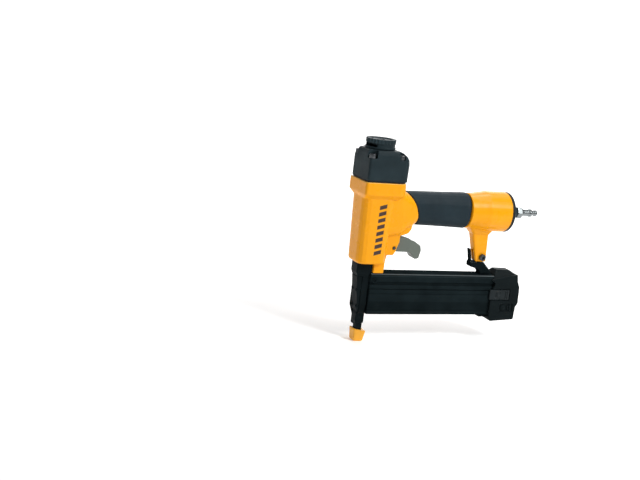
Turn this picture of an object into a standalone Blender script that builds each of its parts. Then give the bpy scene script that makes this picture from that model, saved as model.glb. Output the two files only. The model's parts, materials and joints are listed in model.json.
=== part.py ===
"""Pneumatic brad nailer: an 18-gauge air tool with a swivelling exhaust, a grip sleeve,
a trigger, a contact trip, a driver, and a magazine that slides open to the rear.

Frame: the tool points down along Z and the handle runs to +X. The origin lies on the soft
tip's flat face, in the middle of the pad behind the exit slot. Sizes below are in
millimetres, measured from the drive line; place_in_frame() then moves the whole tool
forward by DRIVE_SETBACK, so that the drive line stands that far in front of the origin.
"""

import math

import bmesh
import bpy
from mathutils import Matrix, Vector

MM = 0.001                   # Blender works in metres
DRIVE_SETBACK = 3.2          # from the drive line back to the origin
GAP = 0.3                    # clearance between pieces that touch

# Heights along the drive line
TIP_TOP = 13.5               # mean height of the soft tip
FOOT_TOP = 21.0              # top of the contact foot
NOSE_BOTTOM = 21.6
BARREL_BOTTOM = 95.3
FLANGE_BOTTOM = 176.5
FLANGE_TOP = 190.7
GASKET_TOP = 191.8
CAP_BOTTOM = 192.1
CAP_TOP = 226.4
DEFLECTOR_TOP = 238.0
SCREW_SEAT = 217.5           # floor of the cap's corner recesses

# Footprint of the head, as lengths along X and half widths along Y
FLANGE_FRONT = -22.2
FLANGE_REAR = 29.8
FLANGE_HALF = 25.0
CAP_FRONT = -20.8
CAP_REAR = 30.6
CAP_HALF = 23.5
CAP_SCREWS = [(-17.0, -19.6), (19.0, -19.5), (19.0, 19.5), (-17.0, 19.6)]
CAP_RECESSES = [5.8, 4.6, 4.6, 5.8]

# Cylinder and drive parts
BORE_R = 15.2
SLEEVE_OUT_R = 14.9
SLEEVE_IN_R = 13.0
SLEEVE_BOTTOM = 103.6
PISTON_BOTTOM = 178.0
PISTON_TOP = 187.0
BLADE_TIP = 69.0
BLADE_WIDE = 5.8
BLADE_THICK = 1.2
CHANNEL_WIDE = 6.6           # drive channel along Y
CHANNEL_THICK = 1.8          # drive channel along X

# Nose plate screws, as (y, z)
NOSE_SCREWS = [(-5.5, 62.0), (5.5, 62.0), (-5.5, 42.5), (5.5, 42.5)]

# Handle, all turned or lofted about the line Z = HANDLE_Z
HANDLE_Z = 160.0
HANDLE_BORE_R = 8.6
SEAM_X = 49.5                # web to grip, at the handle's centre line
SEAM_LEAN = 0.34             # how far the seam leans back for each mm down
SEAM_BOW = 0.014             # how far its ends curve forward, by the square of the height
GRIP_REAR = 119.2
DRUM_REAR = 172.6
DRUM_R = 24.1
PLUG_FACE = 190.8            # where the air plug's hexagon meets the end cap
PLUG_END = 219.5

# Trigger
PIN_X, PIN_Z = 28.0, 114.0
STEM_X = 40.0
STEM_BOTTOM = 119.6
TRIGGER_HALF = 7.8
EAR_IN, EAR_OUT = 8.6, 12.2
LEVER_PIN_X, LEVER_PIN_Z = 51.0, 114.8
PORT_X = 24.5                # air port from the handle up to the cap

# Rear leg, its bolt and the bracket under it
BOLT_X, BOLT_Z = 149.1, 104.5
BRACKET_HALF = 5.2

# Magazine
MAG_FRONT = 4.0
MAG_REAR = 168.0
MAG_HALF = 11.0
MAG_TOP = 83.0
MAG_SPLIT = 64.5             # fixed channel above, sliding magazine below
MAG_BOTTOM = 33.5
CAVITY_HALF = 3.4
FRONT_SCREW_X, FRONT_SCREW_Z = 8.8, 74.8
END_HALF = 14.5
LATCH_X, LATCH_Y = 178.0, -12.5

# Contact trip
TRIP_IN, TRIP_OUT = 11.6, 13.0
SPRING_X, SPRING_Y = 24.0, 10.4

# Colours are linear RGB
YELLOW = (0.82, 0.37, 0.012)
BLACK = (0.018, 0.021, 0.022)
RUBBER = (0.024, 0.030, 0.034)
GREY = (0.13, 0.15, 0.13)
STEEL = (0.55, 0.56, 0.57)
DARK_STEEL = (0.10, 0.10, 0.10)
BRASS = (0.60, 0.42, 0.17)
AMBER = (0.78, 0.36, 0.02)


# ---------------------------------------------------------------- scene helpers

def clear_scene():
    for old in list(bpy.data.objects):
        bpy.data.objects.remove(old, do_unlink=True)


def new_collection(name):
    group = bpy.data.collections.new(name)
    bpy.context.scene.collection.children.link(group)
    return group


clear_scene()
PARTS = new_collection("brad_nailer")
CUTTERS = new_collection("cutters")


def material(name, colour, roughness, metallic=0.0):
    mat = bpy.data.materials.new(name)
    mat.use_nodes = True
    shader = mat.node_tree.nodes["Principled BSDF"]
    shader.inputs["Base Color"].default_value = (*colour, 1.0)
    shader.inputs["Roughness"].default_value = roughness
    shader.inputs["Metallic"].default_value = metallic
    mat.diffuse_color = (*colour, 1.0)
    return mat


def finish_part(obj, name, colour, roughness, metallic=0.0, smooth=True):
    """Name the object, give it its own material and shade its round faces smooth."""
    obj.name = name
    obj.data.name = name
    obj.data.materials.clear()
    obj.data.materials.append(material(name + "_finish", colour, roughness, metallic))
    if smooth and obj.type == "MESH":
        obj.data.shade_smooth()
        obj.data.set_sharp_from_angle(angle=math.radians(35))
    return obj


def link_mesh(bm, name):
    mesh = bpy.data.meshes.new(name)
    bm.to_mesh(mesh)
    bm.free()
    obj = bpy.data.objects.new(name, mesh)
    PARTS.objects.link(obj)
    return obj


def hide_helper(obj):
    """Move a cutter or a joined shape to the cutters' collection and draw it as wire."""
    PARTS.objects.unlink(obj)
    CUTTERS.objects.link(obj)
    obj.hide_render = True
    obj.display_type = "WIRE"


def boolean(target, helper, operation):
    step = target.modifiers.new(operation.lower(), "BOOLEAN")
    step.operation = operation
    step.object = helper
    step.solver = "EXACT"
    hide_helper(helper)


def cut(target, *helpers):
    for helper in helpers:
        boolean(target, helper, "DIFFERENCE")


def join(target, *helpers):
    for helper in helpers:
        boolean(target, helper, "UNION")


def soften(obj, width, segments=2):
    """Round the object's sharp edges with a Bevel modifier."""
    step = obj.modifiers.new("edges", "BEVEL")
    step.width = width * MM
    step.segments = segments
    step.limit_method = "ANGLE"
    step.angle_limit = math.radians(35)
    step.use_clamp_overlap = True
    return obj


# ---------------------------------------------------------------- shape helpers

def box(name, low, high):
    """A box between two corners."""
    bm = bmesh.new()
    bmesh.ops.create_cube(bm, size=1.0)
    size = [(b - a) * MM for a, b in zip(low, high)]
    centre = [(a + b) / 2 * MM for a, b in zip(low, high)]
    bmesh.ops.scale(bm, vec=size, verts=bm.verts)
    bmesh.ops.translate(bm, vec=centre, verts=bm.verts)
    return link_mesh(bm, name)


TURN = {
    "Z": Matrix.Identity(4),
    "X": Matrix.Rotation(math.radians(90), 4, "Y"),
    "Y": Matrix.Rotation(math.radians(-90), 4, "X"),
}


def rod(name, radius, start, length, axis="Z", sides=24):
    """A cylinder that starts at a point and runs along +axis."""
    bm = bmesh.new()
    bmesh.ops.create_cone(bm, cap_ends=True, segments=sides, radius1=radius * MM,
                          radius2=radius * MM, depth=length * MM)
    bmesh.ops.translate(bm, vec=(0, 0, length / 2 * MM), verts=bm.verts)
    bmesh.ops.transform(bm, matrix=TURN[axis], verts=bm.verts)
    bmesh.ops.translate(bm, vec=Vector(start) * MM, verts=bm.verts)
    return link_mesh(bm, name)


def turned(name, profile, centre=(0, 0, 0), axis="Z", steps=28):
    """A turned shape: (radius, height) points, going down the outer side."""
    mesh = bpy.data.meshes.new(name)
    points = [(r * MM, 0, h * MM) for r, h in profile]
    hollow = all(r > 0 for r, _ in profile)
    edges = [(i, i + 1) for i in range(len(points) - 1)]
    if hollow:
        edges.append((len(points) - 1, 0))
    mesh.from_pydata(points, edges, [])
    obj = bpy.data.objects.new(name, mesh)
    PARTS.objects.link(obj)
    obj.matrix_world = Matrix.Translation(Vector(centre) * MM) @ TURN[axis]
    screw = obj.modifiers.new("turn", "SCREW")
    screw.axis = "Z"
    screw.steps = steps
    screw.render_steps = steps
    screw.use_merge_vertices = True
    screw.merge_threshold = 0.00001
    screw.use_smooth_shade = True
    return obj


def rounded_section(half_a, half_b, round_low, per_corner=4, round_high=None):
    """Points round a rectangle with round corners; the +a corners may have their own radius."""
    points = []
    for corner, (sa, sb) in enumerate([(1, 1), (-1, 1), (-1, -1), (1, -1)]):
        radius = round_high if sa > 0 and round_high else round_low
        radius = min(radius, half_a, half_b)
        for step in range(per_corner + 1):
            angle = math.radians(90 * corner + 90 * step / per_corner)
            points.append((sa * (half_a - radius) + radius * math.cos(angle),
                           sb * (half_b - radius) + radius * math.sin(angle)))
    return points


def band_cap(bm, loop):
    """Close a rounded rectangle with bands from side to side, so that it may be bowed."""
    half = len(loop) // 2
    for side in (loop[:half], loop[half:]):
        for i in range(half // 2 - 1):
            bm.faces.new((side[i], side[i + 1], side[half - 2 - i], side[half - 1 - i]))
    bm.faces.new((loop[0], loop[half - 1], loop[half], loop[-1]))


def loft(name, rings, bands=False):
    """A closed skin through rings that all have the same number of points."""
    bm = bmesh.new()
    loops = [[bm.verts.new(Vector(point) * MM) for point in ring] for ring in rings]
    count = len(loops[0])
    for lower, upper in zip(loops, loops[1:]):
        for i in range(count):
            j = (i + 1) % count
            bm.faces.new((lower[i], lower[j], upper[j], upper[i]))
    for loop in (loops[0], loops[-1]):
        if bands:
            band_cap(bm, loop)
        else:
            bm.faces.new(loop)
    bmesh.ops.recalc_face_normals(bm, faces=bm.faces)
    return link_mesh(bm, name)


def z_loft(name, sections, per_corner=3):
    """Rounded rectangles: (z, x low, x high, half width, radius, and maybe rear radius)."""
    rings = []
    for z, x0, x1, half, radius, *rear in sections:
        middle = (x0 + x1) / 2
        points = rounded_section((x1 - x0) / 2, half, radius, per_corner, *rear)
        rings.append([(middle + a, b, z) for a, b in points])
    return loft(name, rings)


def x_loft(name, sections, per_corner=6):
    """Rounded rectangles along X: (x, z low, z high, half width, radius, lean, bow)."""
    rings = []
    for x, z0, z1, half, radius, lean, bow in sections:
        middle = (z0 + z1) / 2
        points = rounded_section(half, (z1 - z0) / 2, radius, per_corner)
        rings.append([(x - b * lean - b * b * bow, a, middle + b) for a, b in points])
    return loft(name, rings, bands=True)


def fillet(corners, steps=3):
    """An outline from (a, b) or (a, b, radius) corners, with round ones as arcs."""
    outline = []
    count = len(corners)
    for i, corner in enumerate(corners):
        here = Vector(corner[:2])
        radius = corner[2] if len(corner) > 2 else 0
        if not radius:
            outline.append(tuple(here))
            continue
        before = (Vector(corners[i - 1][:2]) - here).normalized()
        after = (Vector(corners[(i + 1) % count][:2]) - here).normalized()
        half = before.angle(after) / 2
        centre = here + (before + after).normalized() * (radius / math.sin(half))
        start = here + before * (radius / math.tan(half)) - centre
        end = here + after * (radius / math.tan(half)) - centre
        for step in range(steps + 1):
            blend = start.lerp(end, step / steps)
            outline.append(tuple(centre + blend.normalized() * radius))
    return outline


FACING = {
    "XZ": Matrix.Rotation(math.radians(90), 4, "X"),
    "YZ": Matrix(((0, 0, 1, 0), (1, 0, 0, 0), (0, 1, 0, 0), (0, 0, 0, 1))),
    "XY": Matrix.Identity(4),
}


def plate(name, corners, low, high, plane="XZ", steps=3):
    """A flat outline in a plane, extruded between two distances across it."""
    outline = fillet(corners, steps)
    curve = bpy.data.curves.new(name, "CURVE")
    curve.dimensions = "2D"
    curve.fill_mode = "BOTH"
    curve.extrude = (high - low) / 2 * MM
    spline = curve.splines.new("POLY")
    spline.points.add(len(outline) - 1)
    for point, (a, b) in zip(spline.points, outline):
        point.co = (a * MM, b * MM, 0, 1)
    spline.use_cyclic_u = True
    guide = bpy.data.objects.new(name + "_outline", curve)
    PARTS.objects.link(guide)
    across = (low + high) / 2 * MM
    normal = {"XZ": (0, across, 0), "YZ": (across, 0, 0), "XY": (0, 0, across)}[plane]
    guide.matrix_world = Matrix.Translation(normal) @ FACING[plane]
    bpy.context.view_layer.update()
    return curve_to_mesh(guide, name)


def curve_to_mesh(guide, name):
    """Turn a curve into a mesh with its caps welded on, so Booleans can use it."""
    depsgraph = bpy.context.evaluated_depsgraph_get()
    mesh = bpy.data.meshes.new_from_object(guide.evaluated_get(depsgraph))
    bm = bmesh.new()
    bm.from_mesh(mesh)
    bmesh.ops.remove_doubles(bm, verts=bm.verts, dist=0.000002)
    bmesh.ops.recalc_face_normals(bm, faces=bm.faces)
    bm.to_mesh(mesh)
    bm.free()
    obj = bpy.data.objects.new(name, mesh)
    obj.matrix_world = guide.matrix_world
    PARTS.objects.link(obj)
    bpy.data.objects.remove(guide, do_unlink=True)
    return obj


def coil(name, centre, low, high, radius, wire, turns, axis="Z", per_turn=8):
    """A compression spring whose wire fills the height from low to high."""
    curve = bpy.data.curves.new(name, "CURVE")
    curve.dimensions = "3D"
    curve.bevel_depth = wire / 2 * MM
    curve.bevel_resolution = 2
    curve.use_fill_caps = True
    spline = curve.splines.new("POLY")
    count = turns * per_turn + 1
    spline.points.add(count - 1)
    bottom = low + wire / 2
    rise = high - low - wire
    for i, point in enumerate(spline.points):
        angle = 2 * math.pi * i / per_turn
        height = bottom + rise * i / (count - 1)
        point.co = (radius * math.cos(angle) * MM, radius * math.sin(angle) * MM,
                    height * MM, 1)
    obj = bpy.data.objects.new(name, curve)
    obj.matrix_world = Matrix.Translation(Vector(centre) * MM) @ TURN[axis]
    PARTS.objects.link(obj)
    return obj


def mirror_y(points):
    """The same outline on the other side of Y = 0, still running the same way round."""
    return [(-p[0], *p[1:]) for p in reversed(points)]


def joint_axis(name, place, *objects):
    """An empty on a joint's axis that carries the objects of one moving body."""
    empty = bpy.data.objects.new(name, None)
    empty.empty_display_size = 0.01
    PARTS.objects.link(empty)
    empty.location = Vector(place) * MM
    bpy.context.view_layer.update()
    for obj in objects:
        world = obj.matrix_world.copy()
        obj.parent = empty
        obj.matrix_parent_inverse = empty.matrix_world.inverted()
        obj.matrix_world = world
    return empty


# ---------------------------------------------------------------- main housing

def barrel():
    """The rounded square barrel, wider towards its flange."""
    return z_loft("main_housing", [
        (BARREL_BOTTOM, -16.4, 16.0, 17.3, 7.5),
        (BARREL_BOTTOM + 2, -17.9, 17.5, 18.8, 9.0),
        (172.0, -20.0, 20.5, 20.4, 9.0),
        (184.0, -20.0, 20.5, 20.4, 9.0),
    ])


def flange():
    return z_loft("flange", [
        (171.5, -19.9, 26.0, 20.3, 8.0, 8.0),
        (FLANGE_BOTTOM, FLANGE_FRONT, FLANGE_REAR, FLANGE_HALF, 3.0, 8.5),
        (FLANGE_TOP, FLANGE_FRONT, FLANGE_REAR, FLANGE_HALF, 3.0, 8.5),
    ])


def web():
    """The neck that widens from the barrel into the handle."""
    return x_loft("web", [
        (6.0, 125.0, 184.0, 18.6, 8.0, 0.0, 0.0),
        (30.0, 129.0, 183.0, 18.9, 11.0, 0.08, 0.0),
        (40.0, 135.6, 181.0, 18.2, 13.0, 0.25, 0.006),
        (SEAM_X, 141.0, 179.2, 17.3, 15.5, SEAM_LEAN, SEAM_BOW),
    ])


def valve_boss():
    return soften(plate("valve_boss", [
        (6, 129.5), (36, 129.5, 2), (43, 132, 2), (46.5, 137, 2), (48, 147), (6, 147),
    ], -13.6, 13.6), 1.2)


def trigger_ears():
    outline = [(12, 105.4), (27.6, 105.4, 1.2), (30.2, 109.7, 1.5), (31.6, 115, 2),
               (33.8, 120.7, 2), (34.4, 131), (12, 131)]
    near = plate("near_ear", outline, -EAR_OUT, -EAR_IN)
    far = plate("far_ear", outline, EAR_IN, EAR_OUT)
    return near, far


def front_tab():
    """The yellow leg behind the nose that stands on the magazine."""
    return soften(plate("front_tab", [
        (6.1, 99), (6.1, MAG_TOP + GAP), (19, MAG_TOP + GAP), (19.4, 97, 2), (20.5, 104, 2),
        (20.5, 112), (7, 112),
    ], -11.0, 11.0), 0.7)


def handle_core():
    return x_loft("handle_core", [
        (28.0, 143.9, 176.1, 13.6, 12.5, 0.0, 0.0),
        (124.0, 143.7, 176.3, 13.8, 12.5, 0.0, 0.0),
    ], per_corner=4)


def drum():
    return turned("drum", [
        (0, 52.6), (DRUM_R - 0.6, 52.6), (DRUM_R, 52.0), (DRUM_R, 24.5), (23.0, 19.0),
        (21.3, 7.5), (20.9, 0.6), (20.3, 0), (0, 0),
    ], centre=(DRUM_REAR - 52.6, 0, HANDLE_Z), axis="X", steps=36)


def rear_leg():
    return z_loft("rear_leg", [
        (98.8, 142.2, 155.9, 5.0, 1.5),
        (99.8, 141.4, 156.4, 5.5, 2.0),
        (132.5, 132.8, 154.6, 6.5, 2.5),
        (133.3, 132.0, 155.5, 7.3, 2.8),
        (139.0, 127.5, 158.8, 9.8, 3.5),
        (150.0, 124.5, 161.0, 11.5, 4.0),
    ])


def main_housing():
    body = barrel()
    join(body, flange(), web(), valve_boss(), *trigger_ears(), front_tab(),
         handle_core(), drum(), rear_leg())
    cut(body,
        rod("cylinder_bore", BORE_R, (0, 0, 103.2), 100, sides=32),
        rod("nose_opening", 7.5, (0, 0, 90), 20),
        rod("drum_bore", 20.4, (146.5, 0, HANDLE_Z), 40, "X", 32),
        rod("handle_passage", HANDLE_BORE_R, (21, 0, HANDLE_Z), 130, "X", 20),
        rod("valve_bore", 5.8, (STEM_X, 0, 120), 35, sides=20),
        rod("air_port", 2.6, (PORT_X, 0, HANDLE_Z), 40, sides=12),
        rod("pin_hole", 2.05, (PIN_X, -20, PIN_Z), 40, "Y", 16),
        box("leg_slot", (138, -1.9, 95), (160, 1.9, 113)),
        rod("bolt_hole", 2.3, (BOLT_X, -20, BOLT_Z), 40, "Y", 12))
    for x, y in CAP_SCREWS:
        cut(body, rod("cap_screw_hole", 2.1, (x, y, 178.4), 20, sides=12))
    return finish_part(body, "main_housing", YELLOW, 0.35)


# ---------------------------------------------------------------- cap and exhaust

def cap_gasket():
    gasket = z_loft("cap_gasket", [
        (FLANGE_TOP + GAP, CAP_FRONT + 0.5, CAP_REAR - 1.2, CAP_HALF - 0.5, 3, 8.5),
        (GASKET_TOP, CAP_FRONT + 0.5, CAP_REAR - 1.2, CAP_HALF - 0.5, 3, 8.5),
    ])
    cut(gasket, rod("gasket_bore", BORE_R + 0.2, (0, 0, 185), 20, sides=32),
        rod("gasket_port", 2.6, (PORT_X, 0, 185), 20, sides=12))
    for x, y in CAP_SCREWS:
        cut(gasket, rod("gasket_hole", 2.2, (x, y, 185), 20, sides=12))
    return finish_part(gasket, "cap_gasket", RUBBER, 0.8)


def cylinder_cap():
    """The square cap, rounded down towards the rear, with four recessed corners."""
    cap = z_loft("cylinder_cap", [
        (CAP_BOTTOM, CAP_FRONT, CAP_REAR, CAP_HALF, 2.2, 8.0),
        (212.5, CAP_FRONT, CAP_REAR + 0.4, CAP_HALF, 2.2, 8.0),
        (217.5, CAP_FRONT, CAP_REAR - 0.7, CAP_HALF, 2.4, 7.5),
        (221.6, CAP_FRONT + 0.3, CAP_REAR - 3.8, CAP_HALF - 0.3, 3.0, 7.0),
        (224.8, CAP_FRONT + 1.0, CAP_REAR - 8.6, CAP_HALF - 1.2, 4.0, 6.5),
        (CAP_TOP, CAP_FRONT + 2.6, CAP_REAR - 13.0, CAP_HALF - 3.2, 6.5, 6.5),
    ])
    cut(cap, rod("cap_cavity", BORE_R + 0.2, (0, 0, 180), 33, sides=32),
        rod("deflector_thread", 1.7, (0, 0, 205), 30, sides=12),
        rod("cap_port", 2.6, (PORT_X, 0, 180), 20, sides=12))
    for i in range(6):
        angle = math.radians(60 * i + 30)
        x, y = 8.6 * math.cos(angle), 8.6 * math.sin(angle)
        cut(cap, rod("exhaust_hole", 2.5, (x, y, 208), 30, sides=12))
    for (x, y), recess in zip(CAP_SCREWS, CAP_RECESSES):
        cut(cap, rod("screw_clearance", 2.3, (x, y, 180), 60, sides=12),
            rod("screw_recess", recess, (x, y, SCREW_SEAT), 30, sides=24))
    return finish_part(cap, "cylinder_cap", BLACK, 0.45)


def hex_cutter(name, across, start, length, axis="Z"):
    return rod(name, across / 2 / math.cos(math.radians(30)), start, length, axis, 6)


def socket_screw(name, place, seat, tip, shank_r, head_r, head_high, axis="Z", steps=16):
    """A cap screw whose head sits on `seat` and whose shank ends at `tip`."""
    way = 1 if seat > tip else -1
    top = seat + way * head_high
    chamfer = min(0.5, head_high * 0.25)
    profile = [(0, top), (head_r - chamfer, top), (head_r, top - way * chamfer),
               (head_r, seat), (shank_r, seat), (shank_r, tip), (0, tip)]
    if way < 0:
        profile.reverse()
    screw = turned(name, profile, place, axis, steps)
    depth = head_high * 0.6
    start = list(place)
    start["XYZ".index(axis)] = top - depth if way > 0 else top - 1
    cut(screw, hex_cutter(name + "_socket", head_r * 0.95, start, depth + 1, axis))
    return finish_part(screw, name, DARK_STEEL, 0.35, 0.9)


def cap_screws():
    for number, (x, y) in enumerate(CAP_SCREWS, start=1):
        socket_screw(f"cap_screw_{number}", (x, y, 0), SCREW_SEAT + GAP, 179.0, 1.8, 3.7, 4.6)


def exhaust_deflector():
    """The swivelling cover: a straight wall, one wide outlet and a knurled rim."""
    low = CAP_TOP + GAP
    teeth = 26
    body = turned("exhaust_deflector", [
        (0, 236.0), (16.3, 236.0), (16.5, 229.6), (17.2, 229.1), (17.3, 227.2), (16.8, low),
        (0, low),
    ], steps=2 * teeth)
    rim = []
    for i in range(teeth):
        for share, radius in ((0.0, 16.6), (0.22, 17.1), (0.5, 17.1), (0.72, 16.6)):
            angle = 2 * math.pi * (i + share) / teeth
            rim.append((radius * math.cos(angle), radius * math.sin(angle)))
    knurl = plate("knurled_rim", rim, 233.2, DEFLECTOR_TOP, "XY")
    cut(knurl, rod("rim_dish", 13.2, (0, 0, 237.0), 5, sides=36))
    join(body, knurl)
    ring = turned("exhaust_chamber", [(12.6, 231.0), (12.6, 220.0), (5.0, 220.0), (5.0, 231.0)])
    window = box("exhaust_window", (-30, -11.0, 229.0), (-9.5, 11.0, 232.9))
    window.rotation_euler = (0, 0, math.radians(12))
    cut(body, ring, window, rod("deflector_bore", 1.9, (0, 0, 220), 30, sides=12),
        rod("deflector_seat", 4.2, (0, 0, 234.2), 10, sides=20))
    return finish_part(body, "exhaust_deflector", BLACK, 0.5)


def deflector_screw():
    return socket_screw("deflector_screw", (0, 0, 0), 234.5, 214.0, 1.5, 3.8, 2.0)


def head_valve():
    body = turned("head_valve", [
        (14.9, 204.0), (14.9, 201.6), (13.6, 201.6), (13.6, 199.6), (14.9, 199.6), (14.9, 192.6),
        (4.5, 192.6), (4.5, 196.0), (12.2, 196.0), (12.2, 204.0),
    ])
    return finish_part(body, "head_valve", STEEL, 0.4, 0.8)


def head_valve_seal():
    ring = torus("head_valve_seal", 14.45, 0.65, 200.6)
    return finish_part(ring, "head_valve_seal", RUBBER, 0.6)


def torus(name, major, minor, height, steps=24, sides=6):
    profile = []
    for i in range(sides):
        angle = math.radians(90) - 2 * math.pi * i / sides
        profile.append((major + minor * math.cos(angle), height + minor * math.sin(angle)))
    return turned(name, profile, steps=steps)


def head_valve_spring():
    spring = coil("head_valve_spring", (0, 0, 0), 196.3, 212.7, 10.2, 1.4, 4)
    return finish_part(spring, "head_valve_spring", STEEL, 0.3, 1.0)


# ---------------------------------------------------------------- cylinder and driver

def cylinder_sleeve():
    sleeve = turned("cylinder_sleeve", [
        (SLEEVE_OUT_R, FLANGE_TOP), (SLEEVE_OUT_R, SLEEVE_BOTTOM),
        (SLEEVE_IN_R, SLEEVE_BOTTOM), (SLEEVE_IN_R, FLANGE_TOP),
    ])
    return finish_part(sleeve, "cylinder_sleeve", STEEL, 0.25, 1.0)


def piston():
    body = turned("piston", [
        (0, PISTON_TOP), (11.8, PISTON_TOP), (12.7, PISTON_TOP - 0.9), (12.7, 184.4),
        (11.5, 184.4), (11.5, 182.8), (12.7, 182.8), (12.7, PISTON_BOTTOM), (0, PISTON_BOTTOM),
    ])
    cut(body, box("blade_slot", (-0.9, -3.3, 170), (0.9, 3.3, 184)))
    return finish_part(body, "piston", STEEL, 0.35, 0.9)


def piston_ring():
    ring = torus("piston_ring", 12.25, 0.6, 183.6)
    return finish_part(ring, "piston_ring", RUBBER, 0.6)


def driver_blade():
    blade = box("driver_blade", (-BLADE_THICK / 2, -BLADE_WIDE / 2, BLADE_TIP),
                (BLADE_THICK / 2, BLADE_WIDE / 2, 183.7))
    return finish_part(blade, "driver_blade", STEEL, 0.25, 1.0)


def bumper():
    body = turned("bumper", [
        (11.8, 117.5), (12.7, 116.5), (12.7, 113.0), (11.4, 110.5), (12.7, 108.0),
        (12.7, 103.6), (4.4, 103.6), (4.4, 117.5),
    ])
    return finish_part(body, "bumper", RUBBER, 0.7)


# ---------------------------------------------------------------- handle

def grip_sleeve():
    front = SEAM_X + GAP + 0.2
    outer = x_loft("grip_sleeve", [
        (front, 141.3, 178.9, 16.7, 15.0, SEAM_LEAN, SEAM_BOW),
        (front + 1.6, 140.7, 179.4, 17.3, 15.5, SEAM_LEAN, SEAM_BOW),
        (85.0, 139.9, 180.2, 17.6, 15.8, 0.12, 0.0),
        (GRIP_REAR - 2.0, 138.9, 181.1, 18.4, 16.8, 0.0, 0.0),
        (GRIP_REAR, 139.8, 180.2, 17.4, 16.0, 0.0, 0.0),
    ])
    inner = x_loft("grip_bore", [
        (20.0, 143.5, 176.5, 14.1, 12.9, 0.0, 0.0),
        (140.0, 143.3, 176.7, 14.2, 12.9, 0.0, 0.0),
    ])
    cut(outer, inner)
    return finish_part(outer, "grip_sleeve", RUBBER, 0.75)


def end_cap_seal():
    seal = turned("end_cap_seal", [
        (23.6, 1.0), (23.6, 0.0), (20.8, 0.0), (20.8, 1.0),
    ], centre=(DRUM_REAR + GAP, 0, HANDLE_Z), axis="X", steps=36)
    return finish_part(seal, "end_cap_seal", RUBBER, 0.7)


def rear_end_cap():
    """The dished black cap that closes the drum and carries the air plug."""
    base = DRUM_REAR + 1.6
    body = turned("rear_end_cap", [
        (4.7, PLUG_FACE - GAP - base), (6.3, PLUG_FACE - GAP - base), (6.9, 14.6), (8.6, 11.6),
        (12.0, 8.4), (19.8, 4.6), (23.3, 2.2), (24.2, 0.8), (24.2, 0.0),
        (20.1, 0.0), (20.1, -12.0), (16.8, -12.0), (16.8, 0.0), (4.7, 3.6),
    ], centre=(base, 0, HANDLE_Z), axis="X", steps=36)
    return finish_part(body, "rear_end_cap", BLACK, 0.4)


def air_plug():
    """A quick-connect plug: thread inside the cap, hexagon, neck, shoulder, groove, tip."""
    inside = 179.0
    body = turned("air_plug", [
        (3.2, PLUG_END), (3.7, PLUG_END - 0.8), (3.7, 216.0), (2.95, 215.2), (2.95, 212.6),
        (4.8, 211.4), (4.8, 208.6), (4.1, 207.6), (4.1, 199.6), (5.0, 198.8), (5.0, 194.0),
        (4.4, 192.0), (4.4, inside), (2.0, inside), (2.0, PLUG_END),
    ], centre=(0, 0, HANDLE_Z), axis="X", steps=24)
    nut = hex_cutter("plug_hexagon", 12.4, (PLUG_FACE, 0, HANDLE_Z), 6.0, "X")
    cut(nut, rod("plug_hexagon_bore", 3.0, (185, 0, HANDLE_Z), 20, "X", 16))
    join(body, nut)
    return finish_part(body, "air_plug", STEEL, 0.25, 1.0)


# ---------------------------------------------------------------- nose

def nose_body():
    body = z_loft("nose_body", [
        (NOSE_BOTTOM, -5.8, 4.0, 5.2, 1.0),
        (24.5, -6.6, 4.4, 5.4, 1.2),
        (33.0, -6.6, 4.4, 5.6, 1.2),
        (36.0, -5.6, 3.7, 7.0, 1.2),
        (44.0, -5.4, 3.7, 8.0, 1.2),
        (80.0, -5.4, 3.7, 8.0, 1.2),
    ], per_corner=2)
    neck = z_loft("nose_neck", [
        (79.0, -12.4, 3.7, 8.6, 1.5),
        (83.4, -13.8, 3.7, 9.6, 2.0),
        (84.2, -13.8, 5.6, 9.6, 2.0),
        (BARREL_BOTTOM - GAP, -13.8, 5.6, 9.6, 2.0),
    ], per_corner=2)
    tongue = box("nose_tongue", (0, -3.1, 73.2), (12.4, 3.1, 79.0))
    join(body, neck, tongue, rod("nose_spigot", 6.9, (0, 0, 92), 10.8, sides=20))
    cut(body,
        box("drive_channel", (-CHANNEL_THICK / 2, -CHANNEL_WIDE / 2, 10),
            (CHANNEL_THICK / 2, CHANNEL_WIDE / 2, 110)),
        box("feed_window", (0, -CHANNEL_WIDE / 2, 38), (10, CHANNEL_WIDE / 2, 73.0)),
        box("foot_pocket", (-4.8, -4.3, 10), (3.3, 16, 27.8)),
        rod("tongue_hole", 1.5, (FRONT_SCREW_X, -10, FRONT_SCREW_Z), 20, "Y", 12))
    for y, z in NOSE_SCREWS:
        cut(body, rod("nose_thread", 1.7, (-10, y, z), 9, "X", 12))
    return finish_part(body, "nose_body", BLACK, 0.4, 0.6)


def plate_front(z):
    """X of the front plate's sloping face at height z."""
    return -7.9 - (z - 42.0) * 0.115


def nose_front_plate():
    back = -5.4 - GAP
    body = plate("nose_front_plate", [
        (back, 36.6), (plate_front(36.6), 36.6, 0.6), (plate_front(78.6), 78.6, 0.6), (back, 78.6),
    ], -7.8, 7.8)
    soften(body, 0.6)
    for y, z in NOSE_SCREWS:
        seat = plate_front(z) + 0.9
        cut(body, rod("plate_hole", 1.7, (-20, y, z), 20, "X", 12),
            rod("plate_recess", 2.6, (seat - 20, y, z), 20, "X", 16))
    return finish_part(body, "nose_front_plate", BLACK, 0.4, 0.6)


def nose_screws():
    for number, (y, z) in enumerate(NOSE_SCREWS, start=1):
        seat = plate_front(z) + 0.9 - GAP
        socket_screw(f"nose_screw_{number}", (0, y, z), seat, -2.0, 1.4, 2.3, 1.2, "X", 12)


# ---------------------------------------------------------------- contact trip

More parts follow.
